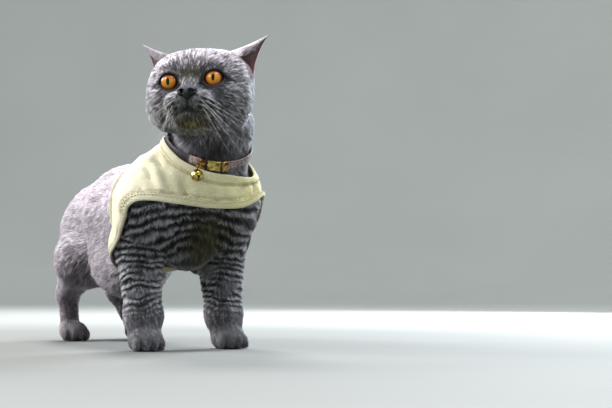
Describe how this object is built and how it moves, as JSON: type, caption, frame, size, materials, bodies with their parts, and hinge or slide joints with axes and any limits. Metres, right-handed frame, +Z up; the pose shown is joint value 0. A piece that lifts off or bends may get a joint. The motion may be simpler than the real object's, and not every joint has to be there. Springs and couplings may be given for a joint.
{
  "type": "standing cat",
  "caption": "Life-size blue-grey short-haired cat standing with its head turned, in a cream cloth harness vest and a leather collar with gold hardware and a bell.",
  "frame": {"origin": "on the floor under the middle of the cat's bounding box", "axes": "+Z up, -Y the way the body faces, +X the cat's left; the head is turned to the cat's right"},
  "size_m": [0.1726, 0.4712, 0.3376],
  "materials": {
    "coat": "dense short plush fur, slate blue-grey",
    "eyes": "wet, clear cornea over an amber iris",
    "nose_leather": "fine pebbled, slightly moist",
    "vest_cloth": "woven, matte cream, with bound edges",
    "collar_leather": "soft, satin, taupe",
    "gold_metal": "polished"
  },
  "bodies": {
    "root": {"head": "coat", "ear_left": "coat", "ear_right": "coat", "neck": "coat", "chest": "coat", "belly": "coat", "rump": "coat", "forepaw_left": "coat", "forepaw_right": "coat", "foreleg_left": "coat", "foreleg_right": "coat", "hindpaw_left": "coat", "hindpaw_right": "coat", "hindleg_left_thigh": "coat", "hindleg_left_shank": "coat", "hindleg_right_thigh": "coat", "hindleg_right_shank": "coat", "tail_root": "coat", "tail_tip": "coat", "eye_left": "eyes", "eye_right": "eyes", "nose": "nose_leather", "vest": "vest_cloth", "collar_strap": "collar_leather", "collar_keeper": "gold_metal", "collar_plate": "gold_metal", "collar_clasp": "gold_metal", "bell": "gold_metal", "bell_ring": "gold_metal"}
  },
  "joints": []
}
